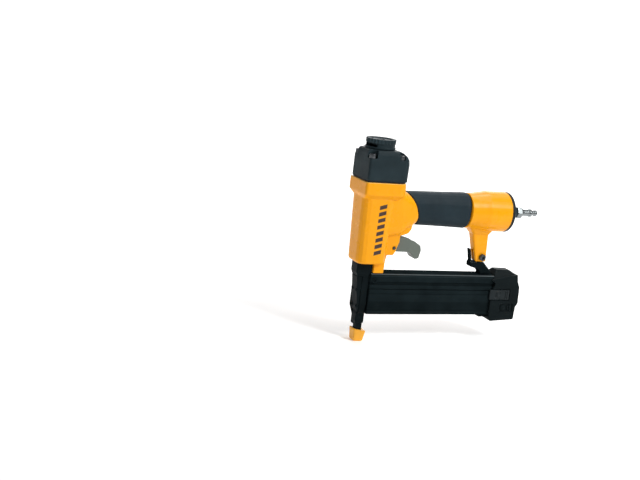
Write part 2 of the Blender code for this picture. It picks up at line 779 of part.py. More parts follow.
def contact_arm():
    """The foot at the tip, the strip up the far side and the finger behind the barrel."""
    foot = box("contact_arm", (-4.5, -4.0, 5.2), (3.0, 4.0, FOOT_TOP))
    side = plate("trip_side", [
        (-3.6, 17.2, 1), (2.2, 17.2, 1), (3.4, 36, 6), (3.4, 74, 5), (12, 79.0, 5), (26.3, 84.6),
        (26.3, 88.4), (13, 88.4, 8), (-2, 83, 5), (-8.0, 66, 8), (-8.0, 40, 8), (-3.8, 28, 6),
    ], TRIP_IN, TRIP_OUT)
    join(foot, box("trip_bar", (-3.0, 2.0, 17.2), (2.0, TRIP_OUT - 0.2, 20.6)), side,
         box("cross_bar", (21.0, -2.0, 87.0), (23.4, TRIP_OUT - 0.2, 89.4)),
         box("spring_seat", (21.2, 7.0, 87.0), (26.3, TRIP_OUT - 0.2, 89.4)),
         box("trip_finger", (21.0, -1.8, 87.2), (23.4, 1.8, 109.5)))
    cut(foot, box("foot_slot", (-0.95, -3.4, 0), (0.95, 3.4, 30)))
    return finish_part(foot, "contact_arm", BLACK, 0.35, 0.8)


def no_mar_tip():
    """The soft tip, with its top sloping down to the rear."""
    rings = []
    for z, front, rear, half, slope in [
            (0.0, -5.6, 5.2, 6.2, 0.0), (1.2, -6.6, 5.8, 6.9, 0.0),
            (TIP_TOP, -7.6, 8.0, 7.6, 0.16)]:
        middle = (front + rear) / 2
        points = rounded_section((rear - front) / 2, half, 2.0, 3)
        rings.append([(middle + a, b, z - a * slope) for a, b in points])
    tip = loft("no_mar_tip", rings)
    cut(tip, box("tip_pocket", (-4.8, -4.3, 4.9), (3.3, 4.3, 30)),
        box("tip_slot", (-1.1, -3.6, -5), (1.1, 3.6, 10)))
    cut(tip, box("tip_bar_slot", (-3.3, 3.6, 16.9), (2.3, 12, 30)))
    return finish_part(tip, "no_mar_tip", AMBER, 0.5)


def contact_spring():
    spring = coil("contact_spring", (SPRING_X, SPRING_Y, 0), 89.8, 105.1, 1.75, 0.7, 5)
    return finish_part(spring, "contact_spring", STEEL, 0.3, 1.0)


# ---------------------------------------------------------------- trigger

def trigger():
    body = plate("trigger", [
        (24.4, 110.4, 2.6), (32, 108.9, 4), (49.8, 108.6, 5), (54.8, 105.2, 3), (58.0, 100.4, 2.0),
        (63.3, 101.4, 2.2), (65.4, 111.2, 3), (63.9, 116.8, 3), (55.2, 122.0, 8), (36.4, 127.2, 1),
        (33.8, 119.4, 2), (24.4, 117.6, 3),
    ], -TRIGGER_HALF, TRIGGER_HALF)
    soften(body, 0.9)
    hollow = plate("trigger_hollow", [
        (18, 104), (31, 110.9), (50.6, 110.6), (57.6, 105.4), (61.6, 106), (62.0, 112), (60.0, 132),
        (18, 132),
    ], -5.8, 5.8)
    cut(body, hollow, rod("trigger_bore", 2.0, (PIN_X, -20, PIN_Z), 40, "Y", 16),
        rod("lever_bore", 1.2, (LEVER_PIN_X, -7.1, LEVER_PIN_Z), 30, "Y", 10))
    return finish_part(body, "trigger", GREY, 0.5)


def trigger_pin():
    pin = rod("trigger_pin", 1.7, (PIN_X, -12.9, PIN_Z), 25.8, "Y", 16)
    return finish_part(pin, "trigger_pin", DARK_STEEL, 0.4, 0.9)


def trigger_lever():
    """The inner lever that the contact trip's finger and the trigger work together."""
    lever = plate("trigger_lever", [
        (21.5, 117.0), (42, 117.0, 4), (48.4, 112.9, 1), (53.4, 112.9, 1.6), (53.4, 116.8, 1.6),
        (45, 118.7, 4), (21.5, 118.7),
    ], -3.0, 3.0)
    cut(lever, rod("lever_pivot", 1.2, (LEVER_PIN_X, -20, LEVER_PIN_Z), 40, "Y", 10))
    return finish_part(lever, "trigger_lever", DARK_STEEL, 0.4, 0.9)


def trigger_lever_pin():
    pin = rod("trigger_lever_pin", 0.9, (LEVER_PIN_X, -6.8, LEVER_PIN_Z), 14.4, "Y", 10)
    return finish_part(pin, "trigger_lever_pin", DARK_STEEL, 0.4, 0.9)


def trigger_valve_body():
    """A sleeve in the boss; its cavity holds the return spring and the stem's collar."""
    body = turned("trigger_valve_body", [
        (5.5, 146.0), (5.5, 129.8), (4.2, 129.8), (4.2, 143.6), (1.8, 143.6), (1.8, 146.0),
    ], centre=(STEM_X, 0, 0), steps=20)
    return finish_part(body, "trigger_valve_body", BRASS, 0.35, 0.9)


def valve_retainer():
    ring = turned("valve_retainer", [
        (3.9, 131.4), (3.9, 129.9), (1.8, 129.9), (1.8, 131.4),
    ], centre=(STEM_X, 0, 0), steps=16)
    return finish_part(ring, "valve_retainer", STEEL, 0.4, 0.9)


def valve_stem():
    stem = turned("valve_stem", [
        (0, 148.6), (1.1, 148.6), (1.4, 148.2), (1.4, 133.6), (3.2, 133.6), (3.2, 131.8),
        (1.4, 131.8), (1.4, STEM_BOTTOM + 0.5), (0.9, STEM_BOTTOM), (0, STEM_BOTTOM),
    ], centre=(STEM_X, 0, 0), steps=16)
    return finish_part(stem, "valve_stem", STEEL, 0.3, 1.0)


def valve_spring():
    spring = coil("valve_spring", (STEM_X, 0, 0), 133.9, 143.3, 2.9, 0.6, 4)
    return finish_part(spring, "valve_spring", STEEL, 0.3, 1.0)


# ---------------------------------------------------------------- magazine

def magazine_channel():
    """The fixed upper half: a roofed channel with a T slot in each side wall."""
    groove = 70.7
    side = [(MAG_HALF, MAG_SPLIT), (MAG_HALF, groove - 0.5), (MAG_HALF - 0.8, groove - 0.2),
            (MAG_HALF - 0.8, groove + 0.2), (MAG_HALF, groove + 0.5), (MAG_HALF, MAG_TOP, 2.2)]
    slot = [(6.0, MAG_SPLIT), (6.0, 69.6), (5.0, 69.6), (5.0, 72.2), (9.2, 72.2), (9.2, 69.6),
            (8.2, 69.6), (8.2, MAG_SPLIT)]
    inside = [(CAVITY_HALF, 79.4), (CAVITY_HALF, MAG_SPLIT)]
    half = inside + slot + side
    body = plate("magazine_channel", half + mirror_y(half), MAG_FRONT, MAG_REAR, "YZ")
    cut(body, rod("front_screw_hole", 1.5, (FRONT_SCREW_X, -20, FRONT_SCREW_Z), 40, "Y", 12))
    return finish_part(body, "magazine_channel", BLACK, 0.35, 0.6)


def sliding_magazine():
    """The lower half that slides to the rear on two T rails."""
    half = [(CAVITY_HALF, 35.2), (CAVITY_HALF, MAG_SPLIT - GAP), (6.4, MAG_SPLIT - GAP), (6.4, 69.9),
            (5.3, 69.9), (5.3, 71.9), (8.9, 71.9), (8.9, 69.9), (7.8, 69.9), (7.8, MAG_SPLIT - GAP),
            (MAG_HALF - 0.2, MAG_SPLIT - GAP), (MAG_HALF - 0.2, MAG_BOTTOM, 1.5)]
    body = plate("sliding_magazine", half + mirror_y(half), MAG_FRONT + GAP, MAG_REAR, "YZ")
    return finish_part(body, "sliding_magazine", BLACK, 0.35, 0.6)


def magazine_front_screw():
    return socket_screw("magazine_front_screw", (FRONT_SCREW_X, 0, FRONT_SCREW_Z), -11.3, 9.0,
                        1.2, 2.7, 1.3, "Y", 12)


def magazine_bracket():
    """The black bracket: a body on the magazine, a tab in the leg's slot, a front strip."""
    body = plate("magazine_bracket", [
        (135.6, 92.4, 1.4), (146.5, 89.6, 1.5), (149.8, 86.5, 1), (150.4, MAG_TOP + GAP),
        (165.4, MAG_TOP + GAP), (164.4, 87.6), (153.6, 98.4, 1), (135.4, 98.4),
    ], -BRACKET_HALF, BRACKET_HALF)
    soften(body, 0.5, 1)
    tab = plate("bracket_tab", [(144.5, 97), (153.5, 97), (153.0, 111, 2), (144.0, 111, 2)],
                -1.6, 1.6)
    strip = plate("bracket_strip", [
        (135.6, 97), (137.5, 97), (137.3, 101.0), (134.2, 114.0), (132.6, 113.7), (135.4, 100.8),
    ], -3.2, 3.2)
    join(body, tab, strip)
    cut(body, rod("bracket_hole", 2.3, (BOLT_X, -20, BOLT_Z), 40, "Y", 12))
    return finish_part(body, "magazine_bracket", BLACK, 0.35, 0.6)


def bracket_bolt():
    return socket_screw("bracket_bolt", (BOLT_X, 0, BOLT_Z), -6.1, 8.6, 2.0, 4.1, 3.6, "Y")


def bracket_nut():
    nut = hex_cutter("bracket_nut", 7.0, (BOLT_X, 6.1, BOLT_Z), 3.0, "Y")
    cut(nut, rod("nut_bore", 2.3, (BOLT_X, 0, BOLT_Z), 20, "Y", 12))
    return finish_part(nut, "bracket_nut", DARK_STEEL, 0.35, 0.9, smooth=False)


def magazine_end_cap():
    """The faceted rear cap, hollow in front so that it clears the fixed channel."""
    body = plate("magazine_end_cap", [
        (163.4, 78.6), (187.5, 83.9), (198.6, 85.4), (200.0, 77.0), (203.4, 69.5), (204.2, 49.5),
        (201.4, 45.0), (200.8, 29.2, 2), (168.3, 26.9, 2), (166.3, 29.5), (165.2, 46.0),
        (165.2, 66.5), (168.6, 71.5), (168.6, 75.0),
    ], -END_HALF, END_HALF)
    soften(body, 0.8, 1)
    eaves = [(164.6, -14.0, 78.2), (198.0, -14.0, 84.4), (198.0, 14.0, 84.4), (164.6, 14.0, 78.2)]
    ridge = [(172.2, -5.2, 89.7), (191.0, -5.2, 89.3), (191.0, 5.2, 89.3), (172.2, 5.2, 89.7)]
    lip = plate("end_cap_lip", [
        (152.8, 33.2), (152.8, 32.2), (155.0, 30.8), (168.8, 30.8), (168.8, 33.2),
    ], -8.5, 8.5)
    join(body, loft("end_cap_roof", [eaves, ridge]), lip)
    cut(body,
        box("channel_pocket", (150, -11.3, 32.4), (168.5, 11.3, MAG_TOP + GAP + 0.2)),
        box("bracket_notch", (150, -5.8, 80), (167.6, 5.8, 96)),
        box("latch_pocket", (163.0, -20, 53.0), (191.0, -10.6, 67.0)),
        rod("latch_pin_hole", 1.3, (LATCH_X, LATCH_Y, 48.5), 23, sides=12),
        rod("latch_spring_seat", 2.4, (186.5, -14, 60), 8.0, "Y", 12))
    return finish_part(body, "magazine_end_cap", BLACK, 0.4)


def latch_lever():
    """A rocking latch: the pad at the rear is pressed and the front end swings out."""
    lever = plate("latch_lever", [
        (163.6, -13.6), (171, -14.2, 1), (176, -13.9, 1), (180, -13.9, 1), (184, -14.4, 1),
        (190.4, -14.4, 0.6), (190.4, -12.4, 0.6), (183, -12.0), (180.6, -10.9, 1),
        (175.4, -10.9, 1), (173, -11.9), (163.6, -11.9),
    ], 53.9, 66.1, "XY")
    for i in range(3):
        join(lever, box("latch_rib", (184.6 + 1.9 * i, -14.8, 55.2), (185.5 + 1.9 * i, -13, 64.8)))
    cut(lever, rod("latch_bore", 1.3, (LATCH_X, LATCH_Y, 50), 20, sides=12))
    return finish_part(lever, "latch_lever", BLACK, 0.45)


def latch_pin():
    pin = rod("latch_pin", 1.0, (LATCH_X, LATCH_Y, 49.0), 22.0, sides=12)
    return finish_part(pin, "latch_pin", STEEL, 0.35, 1.0)


def latch_spring():
    spring = coil("latch_spring", (186.5, 0, 60), -11.9, -6.4, 1.6, 0.6, 3, "Y")
    return finish_part(spring, "latch_spring", STEEL, 0.3, 1.0)


def fastener_rail():
    rail = box("fastener_rail", (6.0, -2.1, 41.0), (168.2, 2.1, 66.0))
    cut(rail, box("rail_relief", (0, -1.3, 35), (190, 1.3, 64.6)))
    return finish_part(rail, "fastener_rail", STEEL, 0.3, 1.0)


def pusher():
    """A saddle that rides over the rail behind the fasteners."""
    saddle = box("pusher", (9.0, -3.1, 50.0), (27.0, 3.1, 72.6))
    cut(saddle, box("pusher_slot", (0, -2.4, 40), (40, 2.4, 66.4)),
        rod("spring_seat", 3.7, (27.6, -6, 69.9), 12, "Y", 16))
    return finish_part(saddle, "pusher", STEEL, 0.35, 0.9)


def pusher_spring():
    """The wound roll of the constant-force strip that pulls the pusher forward."""
    roll = rod("pusher_spring", 3.3, (27.6, -2.4, 69.9), 4.8, "Y", 16)
    cut(roll, rod("roll_bore", 1.6, (27.6, -6, 69.9), 12, "Y", 12))
    return finish_part(roll, "pusher_spring", STEEL, 0.3, 1.0)


# ---------------------------------------------------------------- assembly

def place_in_frame():
    """Hang every top-level object from one empty, set forward of the origin."""
    tool = bpy.data.objects.new("tool_frame", None)
    PARTS.objects.link(tool)
    tool.location = (-DRIVE_SETBACK * MM, 0, 0)
    for obj in [*PARTS.objects, *CUTTERS.objects]:
        if obj.parent is None and obj is not tool:
            obj.parent = tool


def build():
    main_housing()
    cap_gasket()
    cylinder_cap()
    cap_screws()
    deflector_screw()
    cylinder_sleeve()
    bumper()
    grip_sleeve()
    end_cap_seal()
    rear_end_cap()
    air_plug()
    nose_body()
    nose_front_plate()
    nose_screws()
    trigger_pin()
    trigger_valve_body()
    valve_retainer()
    valve_spring()
    magazine_channel()
    magazine_front_screw()
    magazine_bracket()
    bracket_bolt()
    bracket_nut()
    contact_spring()
    head_valve_spring()
    joint_axis("deflector_axis", (0, 0, CAP_TOP), exhaust_deflector())
    joint_axis("head_valve_axis", (0, 0, CAP_BOTTOM), head_valve(), head_valve_seal())
    joint_axis("piston_axis", (0, 0, PISTON_TOP), piston(), piston_ring(), driver_blade())
    joint_axis("contact_axis", (0, 0, 0), contact_arm(), no_mar_tip())
    joint_axis("stem_axis", (STEM_X, 0, STEM_BOTTOM), valve_stem())
    trigger_empty = joint_axis("trigger_axis", (PIN_X, 0, PIN_Z), trigger(), trigger_lever_pin())
    lever_empty = joint_axis("lever_axis", (LEVER_PIN_X, 0, LEVER_PIN_Z), trigger_lever())
    magazine_empty = joint_axis("magazine_axis", (MAG_FRONT, 0, MAG_SPLIT), sliding_magazine(),
                                magazine_end_cap(), latch_pin(), latch_spring(), fastener_rail())
    latch_empty = joint_axis("latch_axis", (LATCH_X, LATCH_Y, 60), latch_lever())
    pusher_empty = joint_axis("pusher_axis", (9.0, 0, 66.4), pusher(), pusher_spring())
    for child, parent in ((lever_empty, trigger_empty), (latch_empty, magazine_empty),
                          (pusher_empty, magazine_empty)):
        child.parent = parent
        child.matrix_parent_inverse = parent.matrix_world.inverted()
    place_in_frame()


build()
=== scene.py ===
"""Looks of the brad nailer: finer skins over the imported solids, materials and a plain studio.

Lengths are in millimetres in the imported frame: +Z runs up the drive line, +X along the handle.
"""

import json
import math

import bmesh
import bpy
from mathutils import Matrix, Vector
from mathutils.bvhtree import BVHTree


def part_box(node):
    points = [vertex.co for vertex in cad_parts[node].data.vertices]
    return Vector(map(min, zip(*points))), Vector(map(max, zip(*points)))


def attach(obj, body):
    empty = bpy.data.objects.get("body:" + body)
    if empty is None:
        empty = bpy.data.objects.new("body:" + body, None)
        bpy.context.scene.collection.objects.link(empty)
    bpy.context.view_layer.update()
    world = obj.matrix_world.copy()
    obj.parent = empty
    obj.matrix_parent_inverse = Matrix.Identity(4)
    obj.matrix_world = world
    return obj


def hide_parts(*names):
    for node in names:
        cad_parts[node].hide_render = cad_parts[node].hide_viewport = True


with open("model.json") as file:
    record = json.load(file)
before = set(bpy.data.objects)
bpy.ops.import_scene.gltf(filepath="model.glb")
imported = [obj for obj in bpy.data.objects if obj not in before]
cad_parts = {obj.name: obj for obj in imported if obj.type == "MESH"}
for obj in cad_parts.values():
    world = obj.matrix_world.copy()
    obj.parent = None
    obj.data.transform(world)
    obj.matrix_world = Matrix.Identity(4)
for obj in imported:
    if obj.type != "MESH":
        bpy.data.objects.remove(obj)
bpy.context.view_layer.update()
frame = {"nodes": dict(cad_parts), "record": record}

MM = 0.001
NODES = frame["nodes"]
BODY_OF = {node: body for body, nodes in frame["record"]["behaviour"]["bodies"].items()
           for node in nodes}
SLOT_OF = {row["node"]: row["material_slot"] for row in frame["record"]["subparts"]}
STUDIO = bpy.context.scene.collection
WELD = 0.002                # vertices closer than this are one
SHARP_ANGLE = 40            # degrees; edges that bend more stay sharp


def corners(node):
    """A node's lowest and highest corners in millimetres."""
    low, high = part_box(node)
    return low / MM, high / MM


BARREL_LOW = corners("main_housing")[0]
BORE_LOW, BORE_HIGH = corners("cylinder_sleeve")
DRIVE_X = (BORE_LOW.x + BORE_HIGH.x) / 2          # the drive line


# ---------------------------------------------------------------- materials

CLOUD_SCALE = 0.035         # waves of mottle in a millimetre
SMUDGE_SCALE = 0.09         # waves of gloss variation in a millimetre


def socket_colour(node, name, colour):
    node.inputs[name].default_value = (*colour, 1.0)


def noise_texture(tree, scale, detail=4.0, roughness=0.55, stretch=None):
    """Noise in the object's own millimetres; stretch makes it run along an axis."""
    place = tree.nodes.new("ShaderNodeTexCoord")
    noise = tree.nodes.new("ShaderNodeTexNoise")
    noise.inputs["Scale"].default_value = scale / MM
    noise.inputs["Detail"].default_value = detail
    noise.inputs["Roughness"].default_value = roughness
    if stretch:
        mapping = tree.nodes.new("ShaderNodeMapping")
        mapping.inputs["Scale"].default_value = stretch
        tree.links.new(place.outputs["Object"], mapping.inputs["Vector"])
        tree.links.new(mapping.outputs["Vector"], noise.inputs["Vector"])
    else:
        tree.links.new(place.outputs["Object"], noise.inputs["Vector"])
    return noise.outputs["Fac"]


def ramp(tree, source, stops):
    """A colour ramp from (place, colour) stops."""
    node = tree.nodes.new("ShaderNodeValToRGB")
    band = node.color_ramp
    while len(band.elements) < len(stops):
        band.elements.new(0.5)
    for element, (place, colour) in zip(band.elements, stops):
        element.position = place
        element.color = (*colour, 1.0)
    tree.links.new(source, node.inputs["Fac"])
    return node.outputs["Color"]


def multiply(tree, first, second, share=1.0):
    node = tree.nodes.new("ShaderNodeMix")
    node.data_type = "RGBA"
    node.blend_type = "MULTIPLY"
    node.inputs["Factor"].default_value = share
    tree.links.new(first, node.inputs[6])
    tree.links.new(second, node.inputs[7])
    return node.outputs[2]


def grey(value):
    return (value, value, value)


def separate_z(tree, vector):
    parts = tree.nodes.new("ShaderNodeSeparateXYZ")
    tree.links.new(vector, parts.inputs["Vector"])
    return parts.outputs["Z"]


def paint_shoulder_highlight(tree, tint, lit_shoulder, low, high, above):
    """Painted highlight above a height, where the surface slopes between two tilts."""
    place = tree.nodes.new("ShaderNodeTexCoord")
    slope = ramp(tree, separate_z(tree, place.outputs["Normal"]), [
        (low - 0.12, grey(0.0)), (low, grey(1.0)), (high, grey(1.0)), (high + 0.06, grey(0.0))])
    reach = tree.nodes.new("ShaderNodeMath")
    reach.operation = "GREATER_THAN"
    reach.inputs[1].default_value = above * MM
    tree.links.new(separate_z(tree, place.outputs["Object"]), reach.inputs[0])
    share = multiply(tree, slope, reach.outputs["Value"])
    node = tree.nodes.new("ShaderNodeMix")
    node.data_type = "RGBA"
    tree.links.new(share, node.inputs["Factor"])
    tree.links.new(tint, node.inputs[6])
    socket_colour(node, 7, lit_shoulder)
    return node.outputs[2]


def surface(name, colour, roughness, metallic=0.0, grain=0.5, grain_depth=0.02, mottle=0.12,
            edge=0.0, crease=0.0, specular=0.5, rough_spread=0.08, stretch=None, lit_shoulder=None):
    """A Principled material with mottled colour, fine grain, painted highlights on convex edges
    and painted shade in creases.

    grain is the grain's frequency per millimetre, and grain_depth its height in millimetres;
    the last argument is a painted highlight on shoulders: its colour, the shoulders' lowest
    and highest tilt, and the height in millimetres that they start from.
    """
    mat = bpy.data.materials.new(name)
    mat.use_nodes = True
    tree = mat.node_tree
    shader = tree.nodes["Principled BSDF"]
    shader.inputs["Metallic"].default_value = metallic
    shader.inputs["Specular IOR Level"].default_value = specular
    cloud = noise_texture(tree, CLOUD_SCALE, 3.0)
    dark = [c * (1 - mottle) for c in colour]
    light = [min(1.0, c * (1 + mottle)) for c in colour]
    tint = ramp(tree, cloud, [(0.3, dark), (0.7, light)])
    # painted highlight on convex edges and painted shade in creases, from pointiness
    if edge or crease:
        shape = tree.nodes.new("ShaderNodeNewGeometry")
        bend = ramp(tree, shape.outputs["Pointiness"], [
            (0.40, grey(1 - crease)), (0.49, grey(1.0)), (0.52, grey(1.0)),
            (0.62, grey(1 + edge))])
        tint = multiply(tree, tint, bend)
    # painted highlight on shoulders that slope upward, above a height
    if lit_shoulder:
        tint = paint_shoulder_highlight(tree, tint, *lit_shoulder)
    tree.links.new(tint, shader.inputs["Base Color"])
    smudge = noise_texture(tree, SMUDGE_SCALE, 5.0)
    gloss = ramp(tree, smudge, [(0.25, grey(max(0.02, roughness - rough_spread))),
                                (0.75, grey(min(1.0, roughness + rough_spread)))])
    tree.links.new(gloss, shader.inputs["Roughness"])
    fine = noise_texture(tree, grain, 6.0, 0.6, stretch)
    bump = tree.nodes.new("ShaderNodeBump")
    bump.inputs["Strength"].default_value = 1.0
    bump.inputs["Distance"].default_value = grain_depth * MM
    tree.links.new(fine, bump.inputs["Height"])
    tree.links.new(bump.outputs["Normal"], shader.inputs["Normal"])
    return mat


def make_materials():
    # Where a material sets edge and crease, its convex edges get a painted highlight and its
    # creases painted shade.
    return {
        # yellow paint: painted highlight along the flange's top edge, painted highlights on convex
        # edges, painted shade in creases
        "yellow_casting": surface("yellow_paint", (0.87, 0.345, 0.004), 0.30, grain=0.35,
                                  grain_depth=0.012, mottle=0.03, edge=0.45, crease=0.4,
                                  specular=0.16, lit_shoulder=((1.0, 0.62, 0.16), 0.35, 0.93, 187.0)),
        "black_cap": surface("cap_plastic", (0.017, 0.028, 0.033), 0.50, grain=1.6,
                             grain_depth=0.02, mottle=0.2, edge=0.8, crease=0.4,
                             specular=0.07),
        # magazine paint: painted highlight along the rounded top edge, painted highlights on
        # convex edges, painted shade in creases
        "black_magazine": surface("magazine_paint", (0.0062, 0.0098, 0.0110), 0.42, grain=1.2,
                                  grain_depth=0.008, mottle=0.25, edge=1.2, crease=0.5,
                                  specular=0.0,
                                  lit_shoulder=((0.080, 0.095, 0.100), 0.5, 0.86, 80.0)),
        "black_nose": surface("black_oxide", (0.0045, 0.0080, 0.0092), 0.42, grain=1.4,
                              grain_depth=0.014, mottle=0.25, edge=1.2, crease=0.4, specular=0.03),
        "black_plastic": surface("end_cap_plastic", (0.0058, 0.0092, 0.0102), 0.42, grain=1.8,
                                 grain_depth=0.02, mottle=0.2, edge=1.4, crease=0.6,
                                 specular=0.03),
        "grip_rubber": surface("grip_rubber", (0.013, 0.024, 0.031), 0.60, grain=1.5,
                               grain_depth=0.05, mottle=0.18, edge=0.5, crease=0.4,
                               specular=0.12),
        "seal_rubber": surface("seal_rubber", (0.010, 0.010, 0.010), 0.6, grain=1.5,
                               grain_depth=0.02, mottle=0.2),
        "grey_plastic": surface("trigger_plastic", (0.105, 0.125, 0.105), 0.45, grain=1.5,
                                grain_depth=0.015, mottle=0.08, edge=0.35, crease=0.3),
        "soft_tip": surface("soft_tip", (0.88, 0.40, 0.02), 0.5, grain=0.8, grain_depth=0.02,
                            mottle=0.1, edge=0.2, crease=0.35),
        "bright_steel": surface("bright_steel", (0.22, 0.24, 0.245), 0.26, metallic=1.0, grain=1.0,
                                grain_depth=0.006, mottle=0.08, rough_spread=0.06,
                                stretch=(9.0, 1.0, 1.0)),
        "dark_steel": surface("dark_steel", (0.06, 0.065, 0.07), 0.34, metallic=0.85, grain=1.6,
                              grain_depth=0.01, mottle=0.2, edge=0.8, crease=0.4),
        "aluminium_parts": surface("machined_aluminium", (0.70, 0.71, 0.72), 0.3, metallic=1.0,
                                   grain=1.0, grain_depth=0.006, mottle=0.05,
                                   stretch=(1.0, 1.0, 9.0)),
        "brass_parts": surface("machined_brass", (0.60, 0.42, 0.17), 0.3, metallic=1.0, grain=1.0,
                               grain_depth=0.006, mottle=0.06, stretch=(1.0, 1.0, 9.0)),
    }


MATERIALS = make_materials()


# ---------------------------------------------------------------- mesh helpers

def new_object(name, mesh):
    obj = bpy.data.objects.new(name, mesh)
    STUDIO.objects.link(obj)
    return obj


def apply_modifiers(obj):
    """Keep what the modifiers make as the object's own mesh."""
    bpy.context.view_layer.update()
    mesh = bpy.data.meshes.new_from_object(
        obj.evaluated_get(bpy.context.evaluated_depsgraph_get()))
    old = obj.data
    obj.modifiers.clear()
    obj.data = mesh
    bpy.data.meshes.remove(old)
    return obj


def copy_solid(name, node):
    """A welded copy of a CAD node's mesh."""
    bm = bmesh.new()
    bm.from_mesh(NODES[node].data)
    bmesh.ops.remove_doubles(bm, verts=bm.verts, dist=WELD * MM)
    return bm_object(name, bm)


def bm_object(name, bm):
    mesh = bpy.data.meshes.new(name)
    bm.to_mesh(mesh)
    bm.free()
    return new_object(name, mesh)


def merge(target, others):
    """Put other meshes into the target's mesh, for a voxel remesh to fuse."""
    bm = bmesh.new()
    bm.from_mesh(target.data)
    for other in others:
        bm.from_mesh(other.data)
        bpy.data.objects.remove(other, do_unlink=True)
    bm.to_mesh(target.data)
    bm.free()


def carve(target, cutters):
    for cutter in cutters:
        step = target.modifiers.new("carve", "BOOLEAN")
        step.operation = "DIFFERENCE"
        step.object = cutter
        step.solver = "EXACT"
    apply_modifiers(target)
    for cutter in cutters:
        bpy.data.objects.remove(cutter, do_unlink=True)


def remesh(obj, voxel, rounds, keep):
    """Skin the solid again at voxel size, melt its edges over some rounds, then thin it out."""
    skin = obj.modifiers.new("skin", "REMESH")
    skin.mode = "VOXEL"
    skin.voxel_size = voxel * MM
    skin.use_smooth_shade = True
    melt = obj.modifiers.new("melt", "SMOOTH")
    melt.factor = 0.5
    melt.iterations = rounds
    if keep < 1:
        thin = obj.modifiers.new("thin", "DECIMATE")
        thin.ratio = keep
    apply_modifiers(obj)
    obj.data.shade_smooth()
    return obj


def moulded(name, node, voxel, rounds, keep=1.0, added=(), carved=()):
    """A cast or moulded piece: the CAD node with details added and its edges melted round."""
    obj = copy_solid(name, node)
    if carved:
        carve(obj, carved)
    if added:
        merge(obj, added)
    remesh(obj, voxel, rounds, keep)
    return settle(obj, node)


def settle(obj, node, *more, slot=None):
    """Let a piece stand for a CAD node: its body, its slot and its material."""
    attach(obj, BODY_OF[node])
    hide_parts(node, *more)
    paint(obj, MATERIALS[slot or SLOT_OF[node]])
    return obj


def paint(obj, mat):
    obj.data.materials.clear()
    obj.data.materials.append(mat)


def bevelled(obj, width, segments=3, angle=30):
    step = obj.modifiers.new("edges", "BEVEL")
    step.width = width * MM
    step.segments = segments
    step.limit_method = "ANGLE"
    step.angle_limit = math.radians(angle)
    step.use_clamp_overlap = True
    apply_modifiers(obj)
    obj.data.shade_smooth()
    obj.data.set_sharp_from_angle(angle=math.radians(SHARP_ANGLE))
    return obj


# ---------------------------------------------------------------- studio

CAMERA_AIM = Vector((-63.3, 0.0, 118.1)) * MM
CAMERA_AZIMUTH = -22.72
CAMERA_ELEVATION = 11.88
CAMERA_ROLL = 6.73
CAMERA_DISTANCE = 1.212     # metres
CAMERA_LENS = 60.33         # millimetres, with the sensor width below
SENSOR_WIDTH = 36.0
VIEW_LIMIT = 50.0           # metres
TOOL_MIDDLE = (0.09, 0.0, 0.12)
SKY_STRENGTH = 0.12
FLOOR_GLOW = 0.22


def make_camera():
    az, el = math.radians(CAMERA_AZIMUTH), math.radians(CAMERA_ELEVATION)
    back = Vector((math.sin(az) * math.cos(el), -math.cos(az) * math.cos(el), math.sin(el)))
    right = Vector((math.cos(az), math.sin(az), 0.0))
    up = back.cross(right)
    turn = Matrix((right, up, back)).transposed()
    roll = Matrix.Rotation(math.radians(CAMERA_ROLL), 3, "Z")
    data = bpy.data.cameras.new("camera")
    data.lens = CAMERA_LENS
    data.sensor_width = SENSOR_WIDTH
    data.clip_end = VIEW_LIMIT
    camera = bpy.data.objects.new("camera", data)
    camera.matrix_world = (Matrix.Translation(CAMERA_AIM + back * CAMERA_DISTANCE)
                           @ (turn @ roll).to_4x4())
    STUDIO.objects.link(camera)
    bpy.context.scene.camera = camera


def area_light(name, place, aim, size, power):
    data = bpy.data.lights.new(name, "AREA")
    data.shape = "RECTANGLE"
    data.size, data.size_y = size
    data.energy = power
    light = bpy.data.objects.new(name, data)
    light.location = place
    light.rotation_euler = (Vector(aim) - Vector(place)).to_track_quat("-Z", "Y").to_euler()
    STUDIO.objects.link(light)


def make_studio():
    area_light("key", (0.69, -1.05, 1.15), TOOL_MIDDLE, (0.5, 0.5), 19.5)
    area_light("top", (0.66, 0.45, 1.45), TOOL_MIDDLE, (0.5, 0.35), 5.5)
    area_light("overhead", (0.45, -0.25, 1.55), TOOL_MIDDLE, (0.7, 0.25), 4.5)
    area_light("fill", (-1.35, -0.45, 0.45), TOOL_MIDDLE, (0.8, 1.2), 2.6)
    area_light("rear", (0.6, 1.3, 0.8), TOOL_MIDDLE, (0.9, 0.7), 4.0)
    area_light("wash", (0.3, 0.9, 2.2), (1.0, 3.2, 0.9), (2.0, 1.0), 55.0)
    world = bpy.data.worlds.new("studio")
    bpy.context.scene.world = world
    world.use_nodes = True
    sky = world.node_tree.nodes["Background"]
    sky.inputs["Color"].default_value = (1.0, 1.0, 1.0, 1.0)
    sky.inputs["Strength"].default_value = SKY_STRENGTH
    bpy.context.scene.view_settings.view_transform = "Standard"
    make_floor()


FLOOR_DROP = 0.0002         # metres, as is the rest of the floor
SWEEP_START = 2.2           # behind the tool, where the floor starts to rise
SWEEP_RADIUS = 1.2
SWEEP_TOP = 4.0
SWEEP_WIDE = 9.0


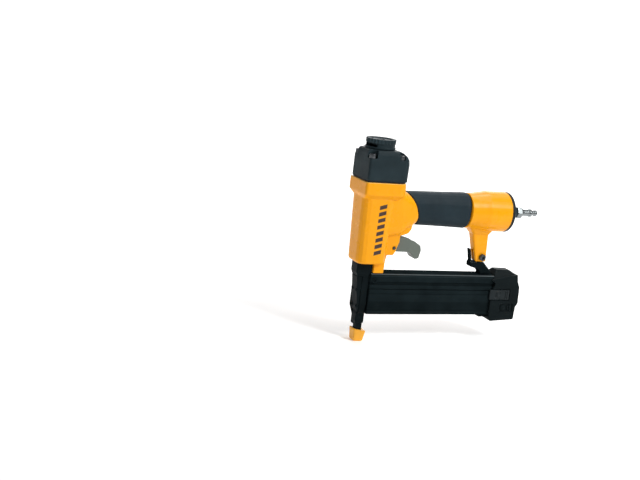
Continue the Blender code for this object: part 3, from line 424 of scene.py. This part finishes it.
def make_floor():
    """A pale floor that sweeps up into a wall far behind the tool."""
    profile = [(-SWEEP_WIDE, 0.0), (SWEEP_START, 0.0)]
    for step in range(1, 13):
        angle = math.radians(90 * step / 12)
        profile.append((SWEEP_START + SWEEP_RADIUS * math.sin(angle),
                        SWEEP_RADIUS * (1 - math.cos(angle))))
    profile.append((SWEEP_START + SWEEP_RADIUS, SWEEP_TOP))
    bm = bmesh.new()
    sides = [[bm.verts.new((x, y, z)) for y, z in profile] for x in (-SWEEP_WIDE, SWEEP_WIDE)]
    for i in range(len(profile) - 1):
        bm.faces.new((sides[0][i], sides[1][i], sides[1][i + 1], sides[0][i + 1]))
    floor = bm_object("floor", bm)
    floor.data.shade_smooth()
    floor.rotation_euler.z = math.radians(CAMERA_AZIMUTH)
    floor.location.z = -FLOOR_DROP
    mat = bpy.data.materials.new("floor")
    mat.use_nodes = True
    shader = mat.node_tree.nodes["Principled BSDF"]
    socket_colour(shader, "Base Color", (0.95, 0.95, 0.95))
    shader.inputs["Roughness"].default_value = 0.8
    shader.inputs["Specular IOR Level"].default_value = 0.1
    socket_colour(shader, "Emission Color", (1.0, 1.0, 1.0))
    shader.inputs["Emission Strength"].default_value = FLOOR_GLOW
    floor.data.materials.append(mat)


make_camera()
make_studio()


# ---------------------------------------------------------------- carried-over nodes

def paint_nodes():
    for node, obj in NODES.items():
        paint(obj, MATERIALS[SLOT_OF[node]])


paint_nodes()


# ---------------------------------------------------------------- cast and moulded pieces

LATCH_LOW, LATCH_HIGH = corners("latch_lever")
END_LOW, END_HIGH = corners("magazine_end_cap")


def block(low, high):
    """A box between two corners in millimetres."""
    bm = bmesh.new()
    bmesh.ops.create_cube(bm, size=1.0)
    size = [(b - a) * MM for a, b in zip(low, high)]
    middle = [(a + b) / 2 * MM for a, b in zip(low, high)]
    bmesh.ops.scale(bm, vec=size, verts=bm.verts)
    bmesh.ops.translate(bm, vec=middle, verts=bm.verts)
    return bm_object("block", bm)


def stud(x, y_low, y_high, z, radius):
    """A short cylinder across the tool, in millimetres."""
    bm = bmesh.new()
    bmesh.ops.create_cone(bm, cap_ends=True, segments=32, radius1=radius * MM,
                          radius2=radius * MM, depth=(y_high - y_low) * MM)
    turn = Matrix.Rotation(math.radians(90), 4, "X")
    place = Matrix.Translation(Vector((x, (y_low + y_high) / 2, z)) * MM)
    bmesh.ops.transform(bm, matrix=place @ turn, verts=bm.verts)
    return bm_object("stud", bm)


def details(node, added):
    """Extra relief that a piece gets before its edges are melted."""
    if node == "latch_lever" and added:
        low, high = LATCH_LOW, LATCH_HIGH
        ribs = [block((x, low.y - 0.8, low.z + 1.2), (x + 1.3, low.y + 1.2, high.z - 1.2))
                for x in (high.x - 5.6, high.x - 3.3)]
        return ribs + [stud(low.x + 11.0, low.y - 0.5, low.y + 1.4, (low.z + high.z) / 2, 3.0),
                       stud(low.x + 11.0, low.y - 0.9, low.y + 1.4, (low.z + high.z) / 2, 1.3)]
    if node == "magazine_end_cap":
        low, high = END_LOW, END_HIGH
        left, right = high.x - 25.4, high.x - 6.6
        floor, roof = low.z + 12.0, low.z + 22.2
        if added:
            middle = (floor + roof) / 2
            return [stud(left + 4.8, low.y + 0.2, low.y + 2.2, middle, 3.1),
                    block((right - 7.6, low.y + 0.4, floor + 2.0),
                          (right - 6.0, low.y + 2.2, roof - 2.0)),
                    block((right - 4.6, low.y + 0.2, floor + 1.2),
                          (right - 2.0, low.y + 2.2, roof - 1.2))]
        return [block((left, low.y - 1.0, floor), (right, low.y + 1.5, roof))]
    return []


def make_moulded():
    """Node, piece name, voxel, melting rounds and the share of faces kept."""
    rows = [
        ("main_housing", "housing_casting", 0.5, 9, 0.3),
        ("cylinder_cap", "cap_moulding", 0.4, 4, 0.35),
        ("grip_sleeve", "grip_rubber_sleeve", 0.45, 5, 0.4),
        ("trigger", "trigger_moulding", 0.3, 5, 0.4),
        ("magazine_end_cap", "magazine_end_moulding", 0.4, 2, 0.35),
        ("no_mar_tip", "soft_tip_moulding", 0.3, 5, 0.5),
        ("nose_body", "nose_casting", 0.3, 3, 0.35),
        ("nose_front_plate", "nose_plate_casting", 0.3, 3, 0.4),
        ("magazine_bracket", "bracket_forging", 0.3, 3, 0.4),
        ("rear_end_cap", "rear_cap_moulding", 0.4, 10, 0.4),
        ("air_plug", "air_plug_turned", 0.2, 2, 0.4),
        ("latch_lever", "latch_moulding", 0.25, 2, 0.4),
    ]
    return {node: moulded(name, node, voxel, rounds, keep, added=details(node, True),
                          carved=details(node, False))
            for node, name, voxel, rounds, keep in rows}


BLACKENED = ["magazine_front_screw", "latch_pin", "nose_screw_1", "nose_screw_2",
             "nose_screw_3", "nose_screw_4"]


def make_machined():
    """Turned and stamped pieces keep their form and get fine round edges."""
    widths = {"exhaust_deflector": 0.28, "deflector_screw": 0.2, "magazine_front_screw": 0.15,
              "bracket_bolt": 0.25, "bracket_nut": 0.25, "contact_arm": 0.2, "trigger_pin": 0.15,
              "fastener_rail": 0.15, "pusher": 0.2, "pusher_spring": 0.1, "latch_pin": 0.12,
              "trigger_lever": 0.15, "trigger_lever_pin": 0.1, "cap_gasket": 0.1}
    widths.update({f"cap_screw_{i}": 0.25 for i in range(1, 5)})
    widths.update({f"nose_screw_{i}": 0.15 for i in range(1, 5)})
    for node, width in widths.items():
        piece = settle(bevelled(copy_solid(node + "_finished", node), width), node)
        if node in BLACKENED:
            paint(piece, MATERIALS["black_nose"])


SKINS = make_moulded()
# latch plastic: painted highlight on convex edges and painted shade in creases
paint(SKINS["latch_lever"], surface("latch_plastic", (0.014, 0.019, 0.021), 0.45, grain=1.8,
                                    grain_depth=0.02, mottle=0.2, edge=1.2, crease=0.6,
                                    specular=0.1))
make_machined()


# ---------------------------------------------------------------- magazine

def arc(centre, radius, start, end, steps=6):
    """Points along an arc between two angles in degrees."""
    points = []
    for i in range(steps + 1):
        angle = math.radians(start + (end - start) * i / steps)
        points.append((centre[0] + radius * math.cos(angle), centre[1] + radius * math.sin(angle)))
    return points


def extruded(name, half, x_low, x_high, edge):
    """A bar along X from half its section, given as (y, z) points on the +Y side."""
    outline = half + [(-y, z) for y, z in reversed(half)]
    bm = bmesh.new()
    rings = [[bm.verts.new(Vector((x, y, z)) * MM) for y, z in outline]
             for x in (x_low, x_high)]
    count = len(outline)
    for i in range(count):
        j = (i + 1) % count
        bm.faces.new((rings[0][i], rings[0][j], rings[1][j], rings[1][i]))
    bm.faces.new(list(reversed(rings[0])))
    bm.faces.new(rings[1])
    bmesh.ops.recalc_face_normals(bm, faces=bm.faces)
    return bevelled(bm_object(name, bm), edge, 2, 40)


def groove(y, z, deep, tall):
    """A shallow V with round lips that runs along the outer wall."""
    return [(y, z - tall), (y - deep * 0.7, z - tall * 0.45), (y - deep, z),
            (y - deep * 0.7, z + tall * 0.45), (y, z + tall)]


TRACK_HALF = 3.4            # half the track that the fasteners lie in
SLOT_IN, SLOT_OUT = 6.0, 8.2


def make_channel():
    low, high = corners("magazine_channel")
    side, top, split = high.y, high.z, low.z
    round_edge = 2.2
    half = [(TRACK_HALF, top - 3.6), (TRACK_HALF, split), (SLOT_IN, split), (SLOT_IN, split + 5.1),
            (SLOT_IN - 1, split + 5.1), (SLOT_IN - 1, split + 7.7), (SLOT_OUT + 1, split + 7.7),
            (SLOT_OUT + 1, split + 5.1), (SLOT_OUT, split + 5.1), (SLOT_OUT, split)]
    half += [(side - 0.8, split), (side, split + 0.8)]
    half += [(side, split + 5.0), (side - 1.2, split + 5.4), (side - 1.2, split + 8.2),
             (side, split + 8.9), (side, top - 3.2), (side - 0.35, top - 2.9),
             (side, top - 2.6)]
    half += arc((side - round_edge, top - round_edge), round_edge, 0, 90)
    return settle(extruded("magazine_channel_extrusion", half, low.x, high.x, 0.3),
                  "magazine_channel")


def make_slider():
    low, high = corners("sliding_magazine")
    side, bottom = high.y, low.z
    top = corners("magazine_channel")[0].z - 0.3
    round_edge = 1.6
    half = [(TRACK_HALF, bottom + 1.7), (TRACK_HALF, top), (SLOT_IN + 0.4, top),
            (SLOT_IN + 0.4, top + 5.7), (SLOT_IN - 0.7, top + 5.7), (SLOT_IN - 0.7, top + 7.7),
            (SLOT_OUT + 0.7, top + 7.7), (SLOT_OUT + 0.7, top + 5.7), (SLOT_OUT - 0.4, top + 5.7),
            (SLOT_OUT - 0.4, top)]
    half += [(side - 0.9, top), (side, top - 0.9)]
    half += [(y, z) for y, z in reversed(groove(side, top - 5.4, 0.3, 0.6))]
    half += [(side, bottom + 16.2), (side - 0.45, bottom + 15.4)]
    half += [(y - 0.45, z) for y, z in reversed(groove(side, bottom + 5.0, 0.35, 0.7))]
    half += arc((side - 0.45 - round_edge, bottom + round_edge), round_edge, 0, -90)
    return settle(extruded("sliding_magazine_extrusion", half, low.x, high.x, 0.3),
                  "sliding_magazine")


make_channel()
make_slider()


# ---------------------------------------------------------------- printed bars on the barrel

BAR_COUNT = 8
BAR_PITCH = 7.6
BAR_TALL = 4.6
BAR_SLANT = 2.6             # rise from the bar's left end to its right end
BAR_LEFT, BAR_RIGHT = -0.4, 8.4     # from the drive line
BAR_START = 106.0
INK_THICK = 0.05


def make_ink():
    return surface("printed_ink", (0.034, 0.014, 0.006), 0.42, grain=0.9, grain_depth=0.004,
                   mottle=0.2)


def printed_bar(number, skin, ink):
    """A slanted bar laid on the casting's near face, with its points on the surface."""
    bm = bmesh.new()
    columns, rows = 10, 6
    grid = []
    for i in range(columns + 1):
        across = i / columns
        x = DRIVE_X + BAR_LEFT + (BAR_RIGHT - BAR_LEFT) * across
        column = []
        for j in range(rows + 1):
            z = BAR_START + number * BAR_PITCH + BAR_SLANT * across + BAR_TALL * j / rows
            hit = skin.ray_cast(Vector((x, BARREL_LOW.y * 3, z)) * MM, Vector((0, 1, 0)))[0]
            column.append(bm.verts.new(hit + Vector((0, -INK_THICK * MM, 0))))
        grid.append(column)
    for i in range(columns):
        for j in range(rows):
            bm.faces.new((grid[i][j], grid[i + 1][j], grid[i + 1][j + 1], grid[i][j + 1]))
    bar = bm_object(f"printed_bar_{number + 1}", bm)
    body = bar.modifiers.new("ink", "SOLIDIFY")
    body.thickness = INK_THICK * MM
    body.offset = -1
    apply_modifiers(bar)
    bar.data.shade_smooth()
    bar.data.set_sharp_from_angle(angle=math.radians(SHARP_ANGLE))
    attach(bar, BODY_OF["main_housing"])
    paint(bar, ink)


def make_bars():
    bpy.context.view_layer.update()
    skin = BVHTree.FromObject(SKINS["main_housing"], bpy.context.evaluated_depsgraph_get())
    ink = make_ink()
    for number in range(BAR_COUNT):
        printed_bar(number, skin, ink)


make_bars()
